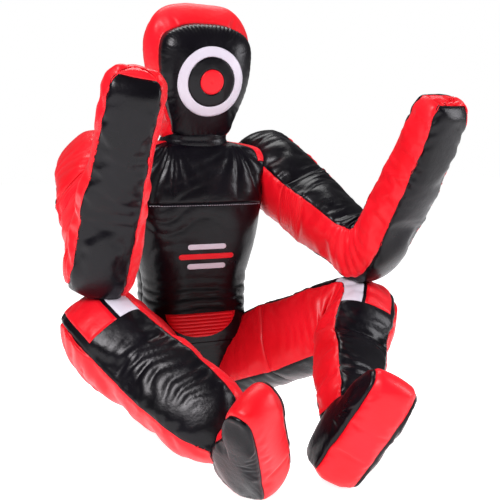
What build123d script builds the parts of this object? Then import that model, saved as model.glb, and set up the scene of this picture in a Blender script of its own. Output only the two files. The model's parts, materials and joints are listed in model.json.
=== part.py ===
from build123d import *
import os
from math import cos, radians, sin

# A seated grappling dummy, in millimetres.  It faces -Y, its left side is +X, and it sits on z = 0.
# The origin lies on the floor between the hips.

# Seams and skins
SKIN = 2.0  # synthetic leather with its backing
SLACK = 0.3  # between a skin and its filling
JOINT_GAP = 1.0  # between two bodies, all round a joint
TRUNK_GAP = 4.0  # between a thigh and the trunk beside its ball
FOOT_GAP = 3.0  # between a foot and the ankle's ball
SEAM_A = 0.86  # where a seam sits across a section's width, as part of the half width
SEAM_B = 0.84  # the same through the section's thickness

# Pose: the joint centres as the dummy sits
JOINTS = {
    "left": {
        "shoulder": (208, 16, 582),
        "elbow": (304, -276, 410),
        "hand": (358, -480, 718),
        "hip": (104, 14, 122),
        "knee": (306, -256, 270),
        "ankle": (132, -478, 120),
        "heel": (58, -552, 28),
        "toe": (136, -626, 196),
    },
    "right": {
        "shoulder": (-216, 24, 582),
        "elbow": (-298, -270, 406),
        "hand": (-276, -448, 756),
        "hip": (-104, 14, 122),
        "knee": (-286, -258, 264),
        "ankle": (-134, -482, 116),
        "heel": (-74, -544, 28),
        "toe": (-138, -628, 188),
    },
}

# Limb sections: (part of the way along the bone, half width, half thickness)
UPPER_ARM = [(0.0, 52, 58), (0.4, 58, 62), (0.78, 58, 54)]
ELBOW = (58, 57)
FOREARM = [(0.3, 60, 46), (0.6, 60, 44), (0.93, 57, 38), (1.0, 45, 24)]
THIGH = [(0.0, 56, 76), (0.35, 63, 84), (0.75, 68, 78)]
KNEE = (76, 84)
SHIN = [(0.36, 78, 59), (0.6, 75, 55), (0.88, 55, 43), (1.08, 41, 38)]
ELBOW_RADIUS = 90
KNEE_RADIUS = 108
BEND_SHIFT = 6  # the middle section of a bend sits this far towards the inside

# Balls on the trunk that carry the limbs
SHOULDER_RADIUS = 72
HIP_RADIUS = 90

# Trunk sections: (z, half width, front y, back y)
TRUNK = [
    (0, 92, -44, 74),
    (22, 122, -62, 94),
    (110, 138, -66, 100),
    (215, 126, -68, 100),
    (330, 116, -70, 100),
    (420, 128, -80, 100),
    (500, 148, -88, 100),
    (590, 174, -76, 92),
    (630, 150, -54, 70),
    (642, 104, -44, 58),
]
YOKE_SEAM_Z = 508
SIDE_SEAM_Y = 20
SEAT_SEAM_Z = 60
RIB_PANEL_TOP_Z = 262
RIB_PANEL_HALF = 78
RIB_PANEL_DROP = 56
GROIN_SEAM_Z = 190
STRIP_SEAM_Z = 600
STRIP_INNER_X = 66

# Neck and head
NOD_CENTRE = (0, -4, 650)
NOD_RADIUS = 64
NOD_HALF_WIDTH = 70
NECK_HALF_WIDTH = 76
NECK_HALF_DEPTH = 60
NECK_SECTIONS = [(0, 0), (100, 6)]  # height above the nod, and how much wider the neck has grown
NECK_LEAN = 0.12  # the neck's middle moves this far forward for each millimetre up
NECK_TILT = 14  # degrees forward of the neck's top, the plane that the head turns on
NECK_TOP = (0, -14, 728)
HEAD_TILT = 8
HEAD_BASE = (0, -18, 700)
HEAD_SECTIONS = [(0, 84, 72), (40, 98, 82), (95, 110, 89), (155, 112, 88), (205, 96, 70), (240, 56, 38)]
GUSSET_FRONT = -32  # the red head band lies between these two depths
GUSSET_BACK = 48
TARGET_HEIGHT = 78
TARGET_RADII = (27, 54, 76)
TARGET_SKIN = 1.2
TARGET_REACH = 120  # the rings are cut from the face by rollers this long, centred in the head's front

# Feet, in the plane of the foot's side: along the sole from the heel, and up from the sole
FOOT_PROFILE = [(2, 0), (208, 0), (214, 46), (138, 76), (100, 102), (24, 112), (-6, 62)]
FOOT_HALF_WIDTH = 42
FOOT_ROUND = 14
ANKLE_RADIUS = 54

# Back zip
ZIP_LOW_Z = 232
ZIP_HIGH_Z = 488
ZIP_HALF_WIDTH = 16
ZIP_FACE_Y = 100
COIL_RADIUS = 1.3
COIL_OFFSET = 1.5
TAPE = 1.2
SLIDER = (9.0, 5.6, 13.0)
SLIDER_TOP_Z = 480
SLIDER_CLEAR = 0.4
COIL_INSET = 2  # a coil stops this far short of its tape's ends
LUG_RADIUS = 2.0
LUG_WIDTH = 2.4
PIN_RADIUS = 0.8
PIN_LENGTH = 6.4
PULL = (7.0, 1.6, 30.0)
PULL_EYE_RADIUS = 0.85
PULL_HEAD_RADIUS = 1.8
PULL_SLOT = (3.2, 10)  # the slot in the pull's head that clears the lug: width, height

CRUMB = 0.02  # a cut's solid smaller than this part of the largest one is dropped
BIG = 2000  # longer than the dummy, for cutting bodies


def unit(vector):
    return vector.normalized()


def points(side):
    return {name: Vector(*place) for name, place in JOINTS[side].items()}


def half_space(origin, normal):
    """Everything on the side of a plane that its normal points to."""
    box = Box(BIG, BIG, BIG, align=(Align.CENTER, Align.CENTER, Align.MIN))
    return Plane(origin=origin, z_dir=normal) * box


def ball(centre, radius):
    """A ball with its poles turned sideways, clear of the limbs' edges."""
    return Pos(*centre) * Rotation(0, 90, 0) * Sphere(radius)


def roller(centre, axis, radius, width):
    """A cylinder about a hinge line."""
    return Plane(origin=centre, z_dir=axis) * Cylinder(radius, width)


# ---- sections -------------------------------------------------------------------------


def seam_corners(a, b):
    across_seam = a * SEAM_A
    through_seam = b * SEAM_B
    return [
        (-across_seam, through_seam),
        (across_seam, through_seam),
        (across_seam, -through_seam),
        (-across_seam, -through_seam),
    ]


def side_middles(a, b):
    return [(0, b), (a, 0), (0, -b), (-a, 0)]


SIDES = {"outer": 0, "lateral": 1, "inner": 2, "medial": 3}


def whole_section(plane, a, b):
    """A pillow-shaped section: four bowed sides between four seams."""
    corners = [plane.from_local_coords(p) for p in seam_corners(a, b)]
    middles = [plane.from_local_coords(p) for p in side_middles(a, b)]
    arcs = [ThreePointArc(corners[i], middles[i], corners[(i + 1) % 4]) for i in range(4)]
    return Face(Wire(arcs))


def panel_section(plane, a, b, side):
    """One bowed side of that section, as thick as the skin, mitred at its seams."""
    i = SIDES[side]
    j = (i + 1) % 4
    outer = [plane.from_local_coords(p) for p in seam_corners(a, b)]
    inner = [plane.from_local_coords(p) for p in seam_corners(a - SKIN, b - SKIN)]
    outer_middle = plane.from_local_coords(side_middles(a, b)[i])
    inner_middle = plane.from_local_coords(side_middles(a - SKIN, b - SKIN)[i])
    edges = [
        ThreePointArc(outer[i], outer_middle, outer[j]),
        Line(outer[j], inner[j]),
        ThreePointArc(inner[j], inner_middle, inner[i]),
        Line(inner[i], outer[i]),
    ]
    return Face(Wire(edges))


# ---- limbs ----------------------------------------------------------------------------


def bend_frame(root, bend, tip, side):
    """The bones' directions, the limb's sideways direction and the way out of the bend."""
    first = unit(bend - root)
    second = unit(tip - bend)
    sideways = unit(first.cross(second))
    if sideways.X * (1 if side == "left" else -1) < 0:
        sideways = -sideways
    outward = unit(first - second)
    return first, second, sideways, outward


def across(direction, outward):
    return unit(outward - direction * outward.dot(direction))


def limb_stations(root, bend, tip, side, upper, middle, lower):
    """A plane and two half sizes for each section along a bent limb."""
    first, second, sideways, outward = bend_frame(root, bend, tip, side)
    stations = []
    for part, a, b in upper:
        normal = across(first, outward)
        plane = Plane(origin=root + (bend - root) * part, x_dir=sideways, z_dir=sideways.cross(normal))
        stations.append((plane, a, b))
    centre = bend - outward * BEND_SHIFT
    stations.append((Plane(origin=centre, x_dir=sideways, z_dir=sideways.cross(outward)), *middle))
    for part, a, b in lower:
        normal = across(second, outward)
        plane = Plane(origin=bend + (tip - bend) * part, x_dir=sideways, z_dir=sideways.cross(normal))
        stations.append((plane, a, b))
    return stations


def limb_panel(stations, side):
    return loft([panel_section(plane, a, b, side) for plane, a, b in stations], ruled=True)


def limb_filling(stations, end_inset):
    """The stuffing, which stops short of the closed end."""
    inset = SKIN + SLACK
    faces = [whole_section(plane, a - inset, b - inset) for plane, a, b in stations]
    body = loft(faces, ruled=True)
    last = stations[-1][0]
    away = unit(last.origin - stations[-2][0].origin)
    return body - half_space(last.origin - away * end_inset, away)


def after_bend(root, bend, tip, side, radius):
    """The space that belongs to the second bone: past the bend and outside its hinge roller."""
    first, second, sideways, _ = bend_frame(root, bend, tip, side)
    return half_space(bend, unit(first + second)) - roller(bend, sideways, radius, BIG / 4)


def split_at_bend(shape, root, bend, tip, side, radius):
    upper = shape - after_bend(root, bend, tip, side, radius)
    lower = shape & after_bend(root, bend, tip, side, radius + JOINT_GAP)
    return upper, lower


def end_cap(stations):
    """The skin over a limb's closed end."""
    plane, a, b = stations[-1]
    away = unit(plane.origin - stations[-2][0].origin)
    return extrude(whole_section(plane, a, b), SKIN, dir=away)


def only_solids(shape):
    """The solids of a cut, largest first, without crumbs."""
    solids = sorted(shape.solids(), key=lambda solid: -solid.volume)
    return [solid for solid in solids if solid.volume > CRUMB * solids[0].volume]


def arm(side):
    """Nodes of one arm: a stuffed V of red sides and black inner and outer faces."""
    at = points(side)
    bones = (at["shoulder"], at["elbow"], at["hand"], side)
    stations = limb_stations(*bones, UPPER_ARM, ELBOW, FOREARM)
    socket = ball(at["shoulder"], SHOULDER_RADIUS + JOINT_GAP)
    panels = {name: limb_panel(stations, name) for name in SIDES}
    panels["filling"] = limb_filling(stations, SLACK)
    upper = {}
    lower = {}
    for name, shape in panels.items():
        upper[name], lower[name] = split_at_bend(shape, *bones, ELBOW_RADIUS)
        upper[name] = upper[name] - socket
    band = lower["lateral"] + lower["medial"] + end_cap(stations)
    return {
        f"{side}_upper_arm_filling": upper["filling"],
        f"{side}_upper_arm_red_panels": [upper["lateral"], upper["medial"]],
        f"{side}_upper_arm_black_panels": [upper["outer"], upper["inner"]],
        f"{side}_forearm_filling": lower["filling"],
        f"{side}_forearm_red_band": band,
        f"{side}_forearm_outer_panel": lower["outer"],
        f"{side}_forearm_inner_panel": lower["inner"],
    }


def past_ankle(at):
    """The space beyond the ankle, except the ball that the foot turns on."""
    down = unit(at["ankle"] - at["knee"])
    return half_space(at["ankle"], down) - ball(at["ankle"], ANKLE_RADIUS)


def leg(side):
    """Nodes of one thigh and shin: red medial and lateral gussets, black front and back."""
    at = points(side)
    bones = (at["hip"], at["knee"], at["ankle"], side)
    stations = limb_stations(*bones, THIGH, KNEE, SHIN)
    socket = ball(at["hip"], HIP_RADIUS + JOINT_GAP)
    panels = {name: limb_panel(stations, name) for name in SIDES}
    panels["filling"] = limb_filling(stations, SLACK)
    upper = {}
    lower = {}
    for name, shape in panels.items():
        upper[name], lower[name] = split_at_bend(shape, *bones, KNEE_RADIUS)
        upper[name] = upper[name] - socket - trunk_loft(-TRUNK_GAP)
        lower[name] = lower[name] - past_ankle(at)
    return {
        f"{side}_thigh_filling": upper["filling"],
        f"{side}_thigh_medial_gusset": upper["medial"],
        f"{side}_thigh_lateral_gusset": upper["lateral"],
        f"{side}_thigh_black_panels": [upper["outer"], upper["inner"]],
        f"{side}_shin_filling": lower["filling"],
        f"{side}_shin_gussets": [lower["lateral"], lower["medial"]],
        f"{side}_shin_front_panel": lower["outer"],
        f"{side}_shin_back_panel": lower["inner"],
    }


# ---- feet -----------------------------------------------------------------------------


def foot_plane(side):
    """The plane of a foot's side: x along the sole to the toe, y up towards the ankle."""
    at = points(side)
    along = unit(at["toe"] - at["heel"])
    reach = at["ankle"] - at["heel"]
    up = unit(reach - along * reach.dot(along))
    return Plane(origin=at["heel"], x_dir=along, z_dir=along.cross(up))


def foot_outline(inset):
    outline = Polyline(*FOOT_PROFILE, close=True)
    face = make_face(outline)
    face = fillet(face.vertices(), FOOT_ROUND)
    return offset(face, -inset) if inset else face


def foot_block(plane, inset, half_width):
    return plane * extrude(foot_outline(inset), half_width, both=True)


def foot(side):
    """Nodes of one foot: a red band round the sole between two black sides."""
    plane = foot_plane(side)
    at = points(side)
    socket = roller(at["ankle"], plane.z_dir, ANKLE_RADIUS + FOOT_GAP, BIG / 4)
    whole = foot_block(plane, 0, FOOT_HALF_WIDTH)
    core = foot_block(plane, SKIN, FOOT_HALF_WIDTH + 1)
    cheeks = foot_block(plane, SKIN, FOOT_HALF_WIDTH) - foot_block(plane, SKIN - 1, FOOT_HALF_WIDTH - SKIN)
    inside = foot_block(plane, SKIN + SLACK, FOOT_HALF_WIDTH - SKIN - SLACK)
    lift = Pos(0, 0, -whole.bounding_box().min.Z)
    return {
        f"{side}_foot_filling": lift * (inside - socket),
        f"{side}_foot_sole_band": lift * (whole - core - socket),
        f"{side}_foot_side_panels": lift * (cheeks - socket),
    }


# ---- trunk ----------------------------------------------------------------------------


def trunk_loft(inset):
    faces = []
    for z, half, front, back in TRUNK:
        plane = Plane(origin=(0, (front + back) / 2, z), x_dir=(1, 0, 0), z_dir=(0, 0, 1))
        faces.append(whole_section(plane, half - inset, (back - front) / 2 - inset))
    body = loft(faces, ruled=True)
    low = half_space((0, 0, inset), (0, 0, 1))
    high = half_space((0, 0, TRUNK[-1][0] - inset), (0, 0, -1))
    return body & low & high if inset else body


def joint_bulges(inset):
    """The balls that carry the arms and legs, and the roller under the neck."""
    width = 2 * (NOD_HALF_WIDTH - inset)
    bulges = [roller(Vector(*NOD_CENTRE), (1, 0, 0), NOD_RADIUS - inset, width)]
    for side in JOINTS:
        at = points(side)
        bulges.append(ball(at["shoulder"], SHOULDER_RADIUS - inset))
        bulges.append(ball(at["hip"], HIP_RADIUS - inset))
    return bulges


def trunk_shape(inset):
    """The trunk with its joint bulges."""
    shape = trunk_loft(inset)
    for bulge in joint_bulges(inset):
        shape += bulge
    return shape


def block(low, high):
    size = [b - a for a, b in zip(low, high)]
    return Pos(*low) * Box(*size, align=Align.MIN)


def half_moon():
    """The belly panel's outline: a straight top edge over a shallow bowl."""
    left = (-RIB_PANEL_HALF, RIB_PANEL_TOP_Z)
    right = (RIB_PANEL_HALF, RIB_PANEL_TOP_Z)
    bowl = ThreePointArc(left, (0, RIB_PANEL_TOP_Z - RIB_PANEL_DROP), right)
    return make_face(bowl + Line(right, left))


def trunk():
    """Nodes of the trunk: the filling and the panels of its cover."""
    core = trunk_loft(SKIN + SLACK)
    skin = trunk_shape(0) - trunk_shape(SKIN)
    slot = block((-ZIP_HALF_WIDTH, 0, ZIP_LOW_Z), (ZIP_HALF_WIDTH, BIG, ZIP_HIGH_Z))
    above_seat = half_space((0, 0, SEAT_SEAM_Z), (0, 0, 1))
    front = half_space((0, SIDE_SEAM_Y, 0), (0, -1, 0))
    rear = half_space((0, SIDE_SEAM_Y, 0), (0, 1, 0)) & above_seat
    neck_gap = block((-STRIP_INNER_X, -BIG, 0), (STRIP_INNER_X, BIG, BIG))
    strips = half_space((0, 0, STRIP_SEAM_Z), (0, 0, 1)) - neck_gap
    rib = extrude(Plane.XZ * half_moon(), BIG / 4)
    back_skin = (skin & rear) - slot - strips
    yoke_zone = front & half_space((0, 0, YOKE_SEAM_Z), (0, 0, 1))
    chest_zone = front & half_space((0, 0, YOKE_SEAM_Z), (0, 0, -1))
    chest_zone = chest_zone & half_space((0, 0, GROIN_SEAM_Z), (0, 0, 1))
    groin_zone = front & half_space((0, 0, GROIN_SEAM_Z), (0, 0, -1)) & above_seat
    return {
        "trunk_filling": core,
        "joint_fillings": [bulge - core for bulge in joint_bulges(SKIN + SLACK)],
        "yoke_panel": (skin & yoke_zone) - strips,
        "shoulder_strips": skin & strips,
        "chest_panel": (skin & chest_zone) - rib,
        "ribbed_belly_panel": skin & rib,
        "groin_panel": skin & groin_zone,
        "seat_panel": skin - above_seat,
        "left_back_panel": back_skin & half_space((0, 0, 0), (1, 0, 0)),
        "right_back_panel": back_skin & half_space((0, 0, 0), (-1, 0, 0)),
    }


# ---- back zip -------------------------------------------------------------------------


def zip_tapes_and_coils():
    """Two tapes sewn under the back panels' edges, each with a coil along its inner edge."""
    tape_y = ZIP_FACE_Y - SKIN
    coil_length = ZIP_HIGH_Z - ZIP_LOW_Z - 2 * COIL_INSET
    coil = Cylinder(COIL_RADIUS, coil_length, align=(Align.CENTER, Align.CENTER, Align.MIN))
    tapes = []
    coils = []
    for way in (-1, 1):
        low_x, high_x = sorted((way * ZIP_HALF_WIDTH, way * COIL_OFFSET))
        tapes.append(block((low_x, tape_y, ZIP_LOW_Z), (high_x, tape_y + TAPE, ZIP_HIGH_Z)))
        coils.append(Pos(way * COIL_OFFSET, tape_y + TAPE + COIL_RADIUS, ZIP_LOW_Z + COIL_INSET) * coil)
    return tapes, coils


def zip_slider_and_pull():
    """The slider that straddles both coils, and the pull that swings on its pin."""
    width, depth, height = SLIDER
    tape_face_y = ZIP_FACE_Y - SKIN + TAPE
    base_y = tape_face_y + SLIDER_CLEAR
    body = block((-width / 2, base_y, SLIDER_TOP_Z - height), (width / 2, base_y + depth, SLIDER_TOP_Z))
    channel_half = COIL_OFFSET + COIL_RADIUS + SLIDER_CLEAR
    channel_top_y = tape_face_y + 2 * COIL_RADIUS + SLIDER_CLEAR
    channel = block((-channel_half, 0, 0), (channel_half, channel_top_y, BIG))
    lug_y = base_y + depth + LUG_RADIUS
    lug_z = SLIDER_TOP_Z - height / 2
    lug_size = 3 * LUG_RADIUS
    lug = Pos(0, lug_y - LUG_RADIUS / 2, lug_z) * Box(LUG_WIDTH, lug_size, lug_size)
    pin_line = (Vector(0, lug_y, lug_z), (1, 0, 0))
    slider = body - channel + lug + roller(*pin_line, PIN_RADIUS, PIN_LENGTH)
    pull_width, pull_depth, pull_length = PULL
    low = (-pull_width / 2, lug_y - pull_depth / 2, lug_z - pull_length)
    high = (pull_width / 2, lug_y + pull_depth / 2, lug_z)
    slot_width, slot_height = PULL_SLOT
    slot_low = (-slot_width / 2, 0, lug_z - slot_height / 2)
    slot_high = (slot_width / 2, BIG, lug_z + slot_height / 2)
    head_end = roller(*pin_line, PULL_HEAD_RADIUS, pull_width)
    eye = roller(*pin_line, PULL_EYE_RADIUS, BIG)
    pull = block(low, high) + head_end - block(slot_low, slot_high) - eye
    return slider, pull


def zip_parts():
    """Nodes of the filling zip down the back."""
    tapes, coils = zip_tapes_and_coils()
    slider, pull = zip_slider_and_pull()
    return {"zip_tapes": tapes, "zip_coils": coils, "zip_slider": slider, "zip_pull": pull}


# ---- neck and head --------------------------------------------------------------------


def tilted(degrees):
    return Vector(0, -sin(radians(degrees)), cos(radians(degrees)))


def neck():
    """Nodes of the neck, between the trunk's roller and the plane that the head turns on."""
    centre = Vector(*NOD_CENTRE)
    roller_space = roller(centre, (1, 0, 0), NOD_RADIUS + JOINT_GAP, BIG / 4)
    below_head = half_space(Vector(*NECK_TOP), -tilted(NECK_TILT))
    shapes = []
    for inset in (0, SKIN, SKIN + SLACK):
        faces = []
        for height, grow in NECK_SECTIONS:
            place = centre + Vector(0, -height * NECK_LEAN, height)
            plane = Plane(origin=place, x_dir=(1, 0, 0), z_dir=(0, 0, 1))
            larger = grow - inset
            faces.append(whole_section(plane, NECK_HALF_WIDTH + larger, NECK_HALF_DEPTH + larger))
        shapes.append((loft(faces, ruled=True) & below_head) - roller_space)
    outside, inside, stuffing = shapes
    return {"neck_filling": stuffing, "neck_sleeve": outside - inside}


def head_loft(inset):
    """The head's whole shape, smaller all round by the inset, down to the plane it turns on."""
    up = tilted(HEAD_TILT)
    faces = []
    for height, a, b in HEAD_SECTIONS:
        plane = Plane(origin=Vector(*HEAD_BASE) + up * height, x_dir=(1, 0, 0), z_dir=up)
        faces.append(whole_section(plane, a - inset, b - inset))
    body = loft(faces, ruled=True)
    top = Vector(*HEAD_BASE) + up * (HEAD_SECTIONS[-1][0] - max(inset, 0))
    foot_of_head = Vector(*NECK_TOP) + tilted(NECK_TILT) * (max(inset, 0) + JOINT_GAP)
    return body & half_space(top, -up) & half_space(foot_of_head, tilted(NECK_TILT))


def head():
    """Nodes of the head: face and back panels, the red band between them, and the target."""
    up = tilted(HEAD_TILT)
    forward = Vector(0, -up.Z, up.Y)
    skin = head_loft(0) - head_loft(SKIN)
    base = Vector(*HEAD_BASE)
    front = half_space(base - forward * GUSSET_FRONT, forward)
    back = half_space(base - forward * GUSSET_BACK, -forward)
    target_skin = (head_loft(-TARGET_SKIN) - head_loft(0)) & front
    centre = base + up * TARGET_HEIGHT + forward * TARGET_REACH / 2
    rings = [roller(centre, forward, radius, TARGET_REACH) for radius in TARGET_RADII]
    return {
        "head_filling": head_loft(SKIN + SLACK),
        "face_panel": skin & front,
        "head_gusset_band": skin - front - back,
        "head_back_panel": skin & back,
        "target_red_disc": target_skin & rings[0],
        "target_black_ring": (target_skin & rings[1]) - rings[0],
        "target_white_ring": (target_skin & rings[2]) - rings[1],
    }


def main():
    os.makedirs("parts", exist_ok=True)
    nodes = {**head(), **neck(), **trunk(), **zip_parts()}
    for side in JOINTS:
        nodes.update(arm(side))
        nodes.update(leg(side))
        nodes.update(foot(side))
    for name, shape in nodes.items():
        shapes = shape if isinstance(shape, list) else [shape]
        solids = [solid for piece in shapes for solid in only_solids(piece)]
        node = Compound(children=solids) if len(solids) > 1 else solids[0]
        export_step(node, f"parts/{name}.step")
    print(len(nodes), "nodes")


main()
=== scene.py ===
# %% [markdown]
# A seated grappling dummy: a stuffed figure of glossy synthetic leather for throwing and holding practice.
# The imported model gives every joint's place and range, so it is loaded first and never moved.
# Everything after that is a cover sewn around it: arms, legs, feet, trunk, neck and head.

# %% Load the frame
import json
import math
import time

import bmesh
import bpy
import numpy as np
from mathutils import Matrix, Vector, noise
from mathutils.bvhtree import BVHTree


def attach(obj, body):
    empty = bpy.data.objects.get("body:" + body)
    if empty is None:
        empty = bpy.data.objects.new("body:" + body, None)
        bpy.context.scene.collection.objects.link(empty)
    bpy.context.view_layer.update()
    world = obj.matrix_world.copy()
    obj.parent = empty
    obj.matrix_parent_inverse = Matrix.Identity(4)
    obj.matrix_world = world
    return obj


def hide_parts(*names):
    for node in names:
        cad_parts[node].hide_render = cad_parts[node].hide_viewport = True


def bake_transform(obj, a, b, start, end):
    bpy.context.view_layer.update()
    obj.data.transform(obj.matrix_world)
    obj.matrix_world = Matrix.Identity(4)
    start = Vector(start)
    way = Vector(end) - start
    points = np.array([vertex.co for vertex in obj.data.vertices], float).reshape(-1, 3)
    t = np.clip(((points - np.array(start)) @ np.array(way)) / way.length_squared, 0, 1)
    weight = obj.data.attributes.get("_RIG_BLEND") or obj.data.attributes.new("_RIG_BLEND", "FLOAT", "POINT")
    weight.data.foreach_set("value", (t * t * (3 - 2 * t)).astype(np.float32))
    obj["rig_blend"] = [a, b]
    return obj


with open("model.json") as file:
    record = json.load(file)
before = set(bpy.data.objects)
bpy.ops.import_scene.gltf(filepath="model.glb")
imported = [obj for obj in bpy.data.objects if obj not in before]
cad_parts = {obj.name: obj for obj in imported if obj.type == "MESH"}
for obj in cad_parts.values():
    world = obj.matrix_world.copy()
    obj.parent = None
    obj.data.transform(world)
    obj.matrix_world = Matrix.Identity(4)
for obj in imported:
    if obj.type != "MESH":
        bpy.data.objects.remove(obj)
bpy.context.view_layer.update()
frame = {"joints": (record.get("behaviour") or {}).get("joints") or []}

started = time.time()
joint_at = {j["name"]: Vector(j["pos_m"]) for j in frame["joints"] if "pos_m" in j}

# %% [markdown]
# The camera comes first, so that each step can be looked at from the right place.
# A long lens from two metres away keeps the limbs' perspective mild. Depth of field stays off.

# %% Camera
CAMERA_TURN = math.radians(-24.99)
CAMERA_RISE = math.radians(6.217)
CAMERA_DISTANCE = 1.985
SENSOR_WIDTH = 36
LENS = 67.25
CAMERA_AIM = Vector((0.0427, -0.2206, 0.4139))
camera_back = Vector((
    math.sin(CAMERA_TURN) * math.cos(CAMERA_RISE),
    -math.cos(CAMERA_TURN) * math.cos(CAMERA_RISE),
    math.sin(CAMERA_RISE),
))
camera_data = bpy.data.cameras.new("camera")
camera_data.sensor_width = SENSOR_WIDTH
camera_data.lens = LENS
camera = bpy.data.objects.new("camera", camera_data)
camera.location = CAMERA_AIM + camera_back * CAMERA_DISTANCE
camera.rotation_mode = "QUATERNION"
camera.rotation_quaternion = (-camera_back).to_track_quat("-Z", "Y")
bpy.context.scene.collection.objects.link(camera)
bpy.context.scene.camera = camera
print("camera at", [round(c, 3) for c in camera.location])

# %% [markdown]
# The floor is one plain pale sheet. Soft boxes give glossy black leather its broad highlights:
# a black surface shows only what it mirrors, so the boxes' sizes matter more than their power.

# %% Floor, sky and soft boxes
FLOOR_GLOW = 0.90
SKY_SEEN = 1.0  # as the camera sees it
SKY_CAST = 0.15  # as it lights the leather
BODY_AIM = (0, -0.25, 0.4)


def node(tree, kind, **settings):
    made = tree.nodes.new(kind)
    for name, value in settings.items():
        setattr(made, name, value)
    return made


def pale_floor():
    bm = bmesh.new()
    bmesh.ops.create_grid(bm, x_segments=4, y_segments=4, size=14)
    mesh = bpy.data.meshes.new("floor")
    bm.to_mesh(mesh)
    bm.free()
    floor = bpy.data.objects.new("floor", mesh)
    floor.location.z = -0.001
    bpy.context.scene.collection.objects.link(floor)
    material = bpy.data.materials.new("pale_floor")
    material.use_nodes = True
    shader = material.node_tree.nodes["Principled BSDF"]
    shader.inputs["Base Color"].default_value = (0.93, 0.93, 0.94, 1)
    shader.inputs["Roughness"].default_value = 0.9
    shader.inputs["Specular IOR Level"].default_value = 0.1
    shader.inputs["Emission Color"].default_value = (1, 1, 1, 1)
    shader.inputs["Emission Strength"].default_value = FLOOR_GLOW
    mesh.materials.append(material)
    return floor


def soft_box(name, place, aim, width, height, power, colour=(1, 1, 1)):
    light = bpy.data.lights.new(name, "AREA")
    light.shape = "RECTANGLE"
    light.size = width
    light.size_y = height
    light.energy = power
    light.color = colour
    box = bpy.data.objects.new(name, light)
    box.location = place
    box.rotation_mode = "QUATERNION"
    box.rotation_quaternion = (Vector(aim) - Vector(place)).to_track_quat("-Z", "Y")
    bpy.context.scene.collection.objects.link(box)
    return box


pale_floor()
world = bpy.data.worlds.new("studio")
bpy.context.scene.world = world
world.use_nodes = True
sky = world.node_tree.nodes["Background"]
sky.inputs["Color"].default_value = (1, 1, 1, 1)
sky_mix = node(world.node_tree, "ShaderNodeMapRange")
sky_mix.inputs["To Min"].default_value = SKY_CAST
sky_mix.inputs["To Max"].default_value = SKY_SEEN
seen = node(world.node_tree, "ShaderNodeLightPath")
world.node_tree.links.new(seen.outputs["Is Camera Ray"], sky_mix.inputs["Value"])
world.node_tree.links.new(sky_mix.outputs["Result"], sky.inputs["Strength"])
bpy.context.scene.view_settings.view_transform = "Standard"
soft_box("key", (-2.1, -1.9, 2.5), BODY_AIM, 1.0, 1.0, 100, (1, 0.96, 1))
soft_box("fill", (2.3, -1.6, 1.4), BODY_AIM, 0.8, 1.6, 44, (0.96, 0.95, 1))
soft_box("top", (0.2, 0.6, 2.6), BODY_AIM, 1.6, 1.0, 34)

# %% [markdown]
# The leather is polyurethane on a cloth backing. It needs four things: a deep colour,
# a broad soft gloss, a fine pebble grain, and slow shade changes where it has been handled.
# All of it reads Object coordinates, because every piece keeps its place in its mesh.

# %% Leather
HANDLED_SCALE = 9.0  # these four are in cells per metre
STREAK_SCALE = 26.0
CREASE_SCALE = 55.0
GRAIN_SCALE = 620.0
GRAIN_DEPTH = 0.0006
CREASE_DEPTH = 0.003


def noise_node(tree, place, scale, detail=4.0, rough=0.55):
    made = node(tree, "ShaderNodeTexNoise")
    made.inputs["Scale"].default_value = scale
    made.inputs["Detail"].default_value = detail
    made.inputs["Roughness"].default_value = rough
    tree.links.new(place, made.inputs["Vector"])
    return made


def ramp_node(tree, source, low, high, from_value=0.3, to_value=0.7):
    made = node(tree, "ShaderNodeValToRGB")
    made.color_ramp.elements[0].position = from_value
    made.color_ramp.elements[1].position = to_value
    made.color_ramp.elements[0].color = (*low, 1)
    made.color_ramp.elements[1].color = (*high, 1)
    tree.links.new(source, made.inputs["Fac"])
    return made


def span_node(tree, source, low, high):
    made = node(tree, "ShaderNodeMapRange")
    made.inputs["To Min"].default_value = low
    made.inputs["To Max"].default_value = high
    tree.links.new(source, made.inputs["Value"])
    return made


def leather(name, dark, light, rough, gloss, sheen, sheen_colour, crease=0.35):
    material = bpy.data.materials.new(name)
    material.use_nodes = True
    tree = material.node_tree
    shader = tree.nodes["Principled BSDF"]
    place = node(tree, "ShaderNodeTexCoord").outputs["Object"]
    handled = noise_node(tree, place, HANDLED_SCALE, 3.0)
    shade = ramp_node(tree, handled.outputs["Fac"], dark, light)
    tree.links.new(shade.outputs["Color"], shader.inputs["Base Color"])
    streaks = noise_node(tree, place, STREAK_SCALE, 5.0)
    roughness = span_node(tree, streaks.outputs["Fac"], rough - 0.07, rough + 0.09)
    tree.links.new(roughness.outputs["Result"], shader.inputs["Roughness"])
    shader.inputs["Specular IOR Level"].default_value = gloss
    shader.inputs["Coat Weight"].default_value = 0.05
    shader.inputs["Coat Roughness"].default_value = 0.18
    shader.inputs["Sheen Weight"].default_value = sheen
    shader.inputs["Sheen Roughness"].default_value = 0.45
    shader.inputs["Sheen Tint"].default_value = (*sheen_colour, 1)
    grain = node(tree, "ShaderNodeTexVoronoi", feature="SMOOTH_F1")
    grain.inputs["Scale"].default_value = GRAIN_SCALE
    tree.links.new(place, grain.inputs["Vector"])
    slow = noise_node(tree, place, CREASE_SCALE, 6.0, 0.6)
    pebble = node(tree, "ShaderNodeBump")
    pebble.inputs["Strength"].default_value = 0.12
    pebble.inputs["Distance"].default_value = GRAIN_DEPTH
    tree.links.new(grain.outputs["Distance"], pebble.inputs["Height"])
    small_creases = node(tree, "ShaderNodeBump")
    small_creases.inputs["Strength"].default_value = crease
    small_creases.inputs["Distance"].default_value = CREASE_DEPTH
    tree.links.new(slow.outputs["Fac"], small_creases.inputs["Height"])
    tree.links.new(pebble.outputs["Normal"], small_creases.inputs["Normal"])
    tree.links.new(small_creases.outputs["Normal"], shader.inputs["Normal"])
    return material


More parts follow.
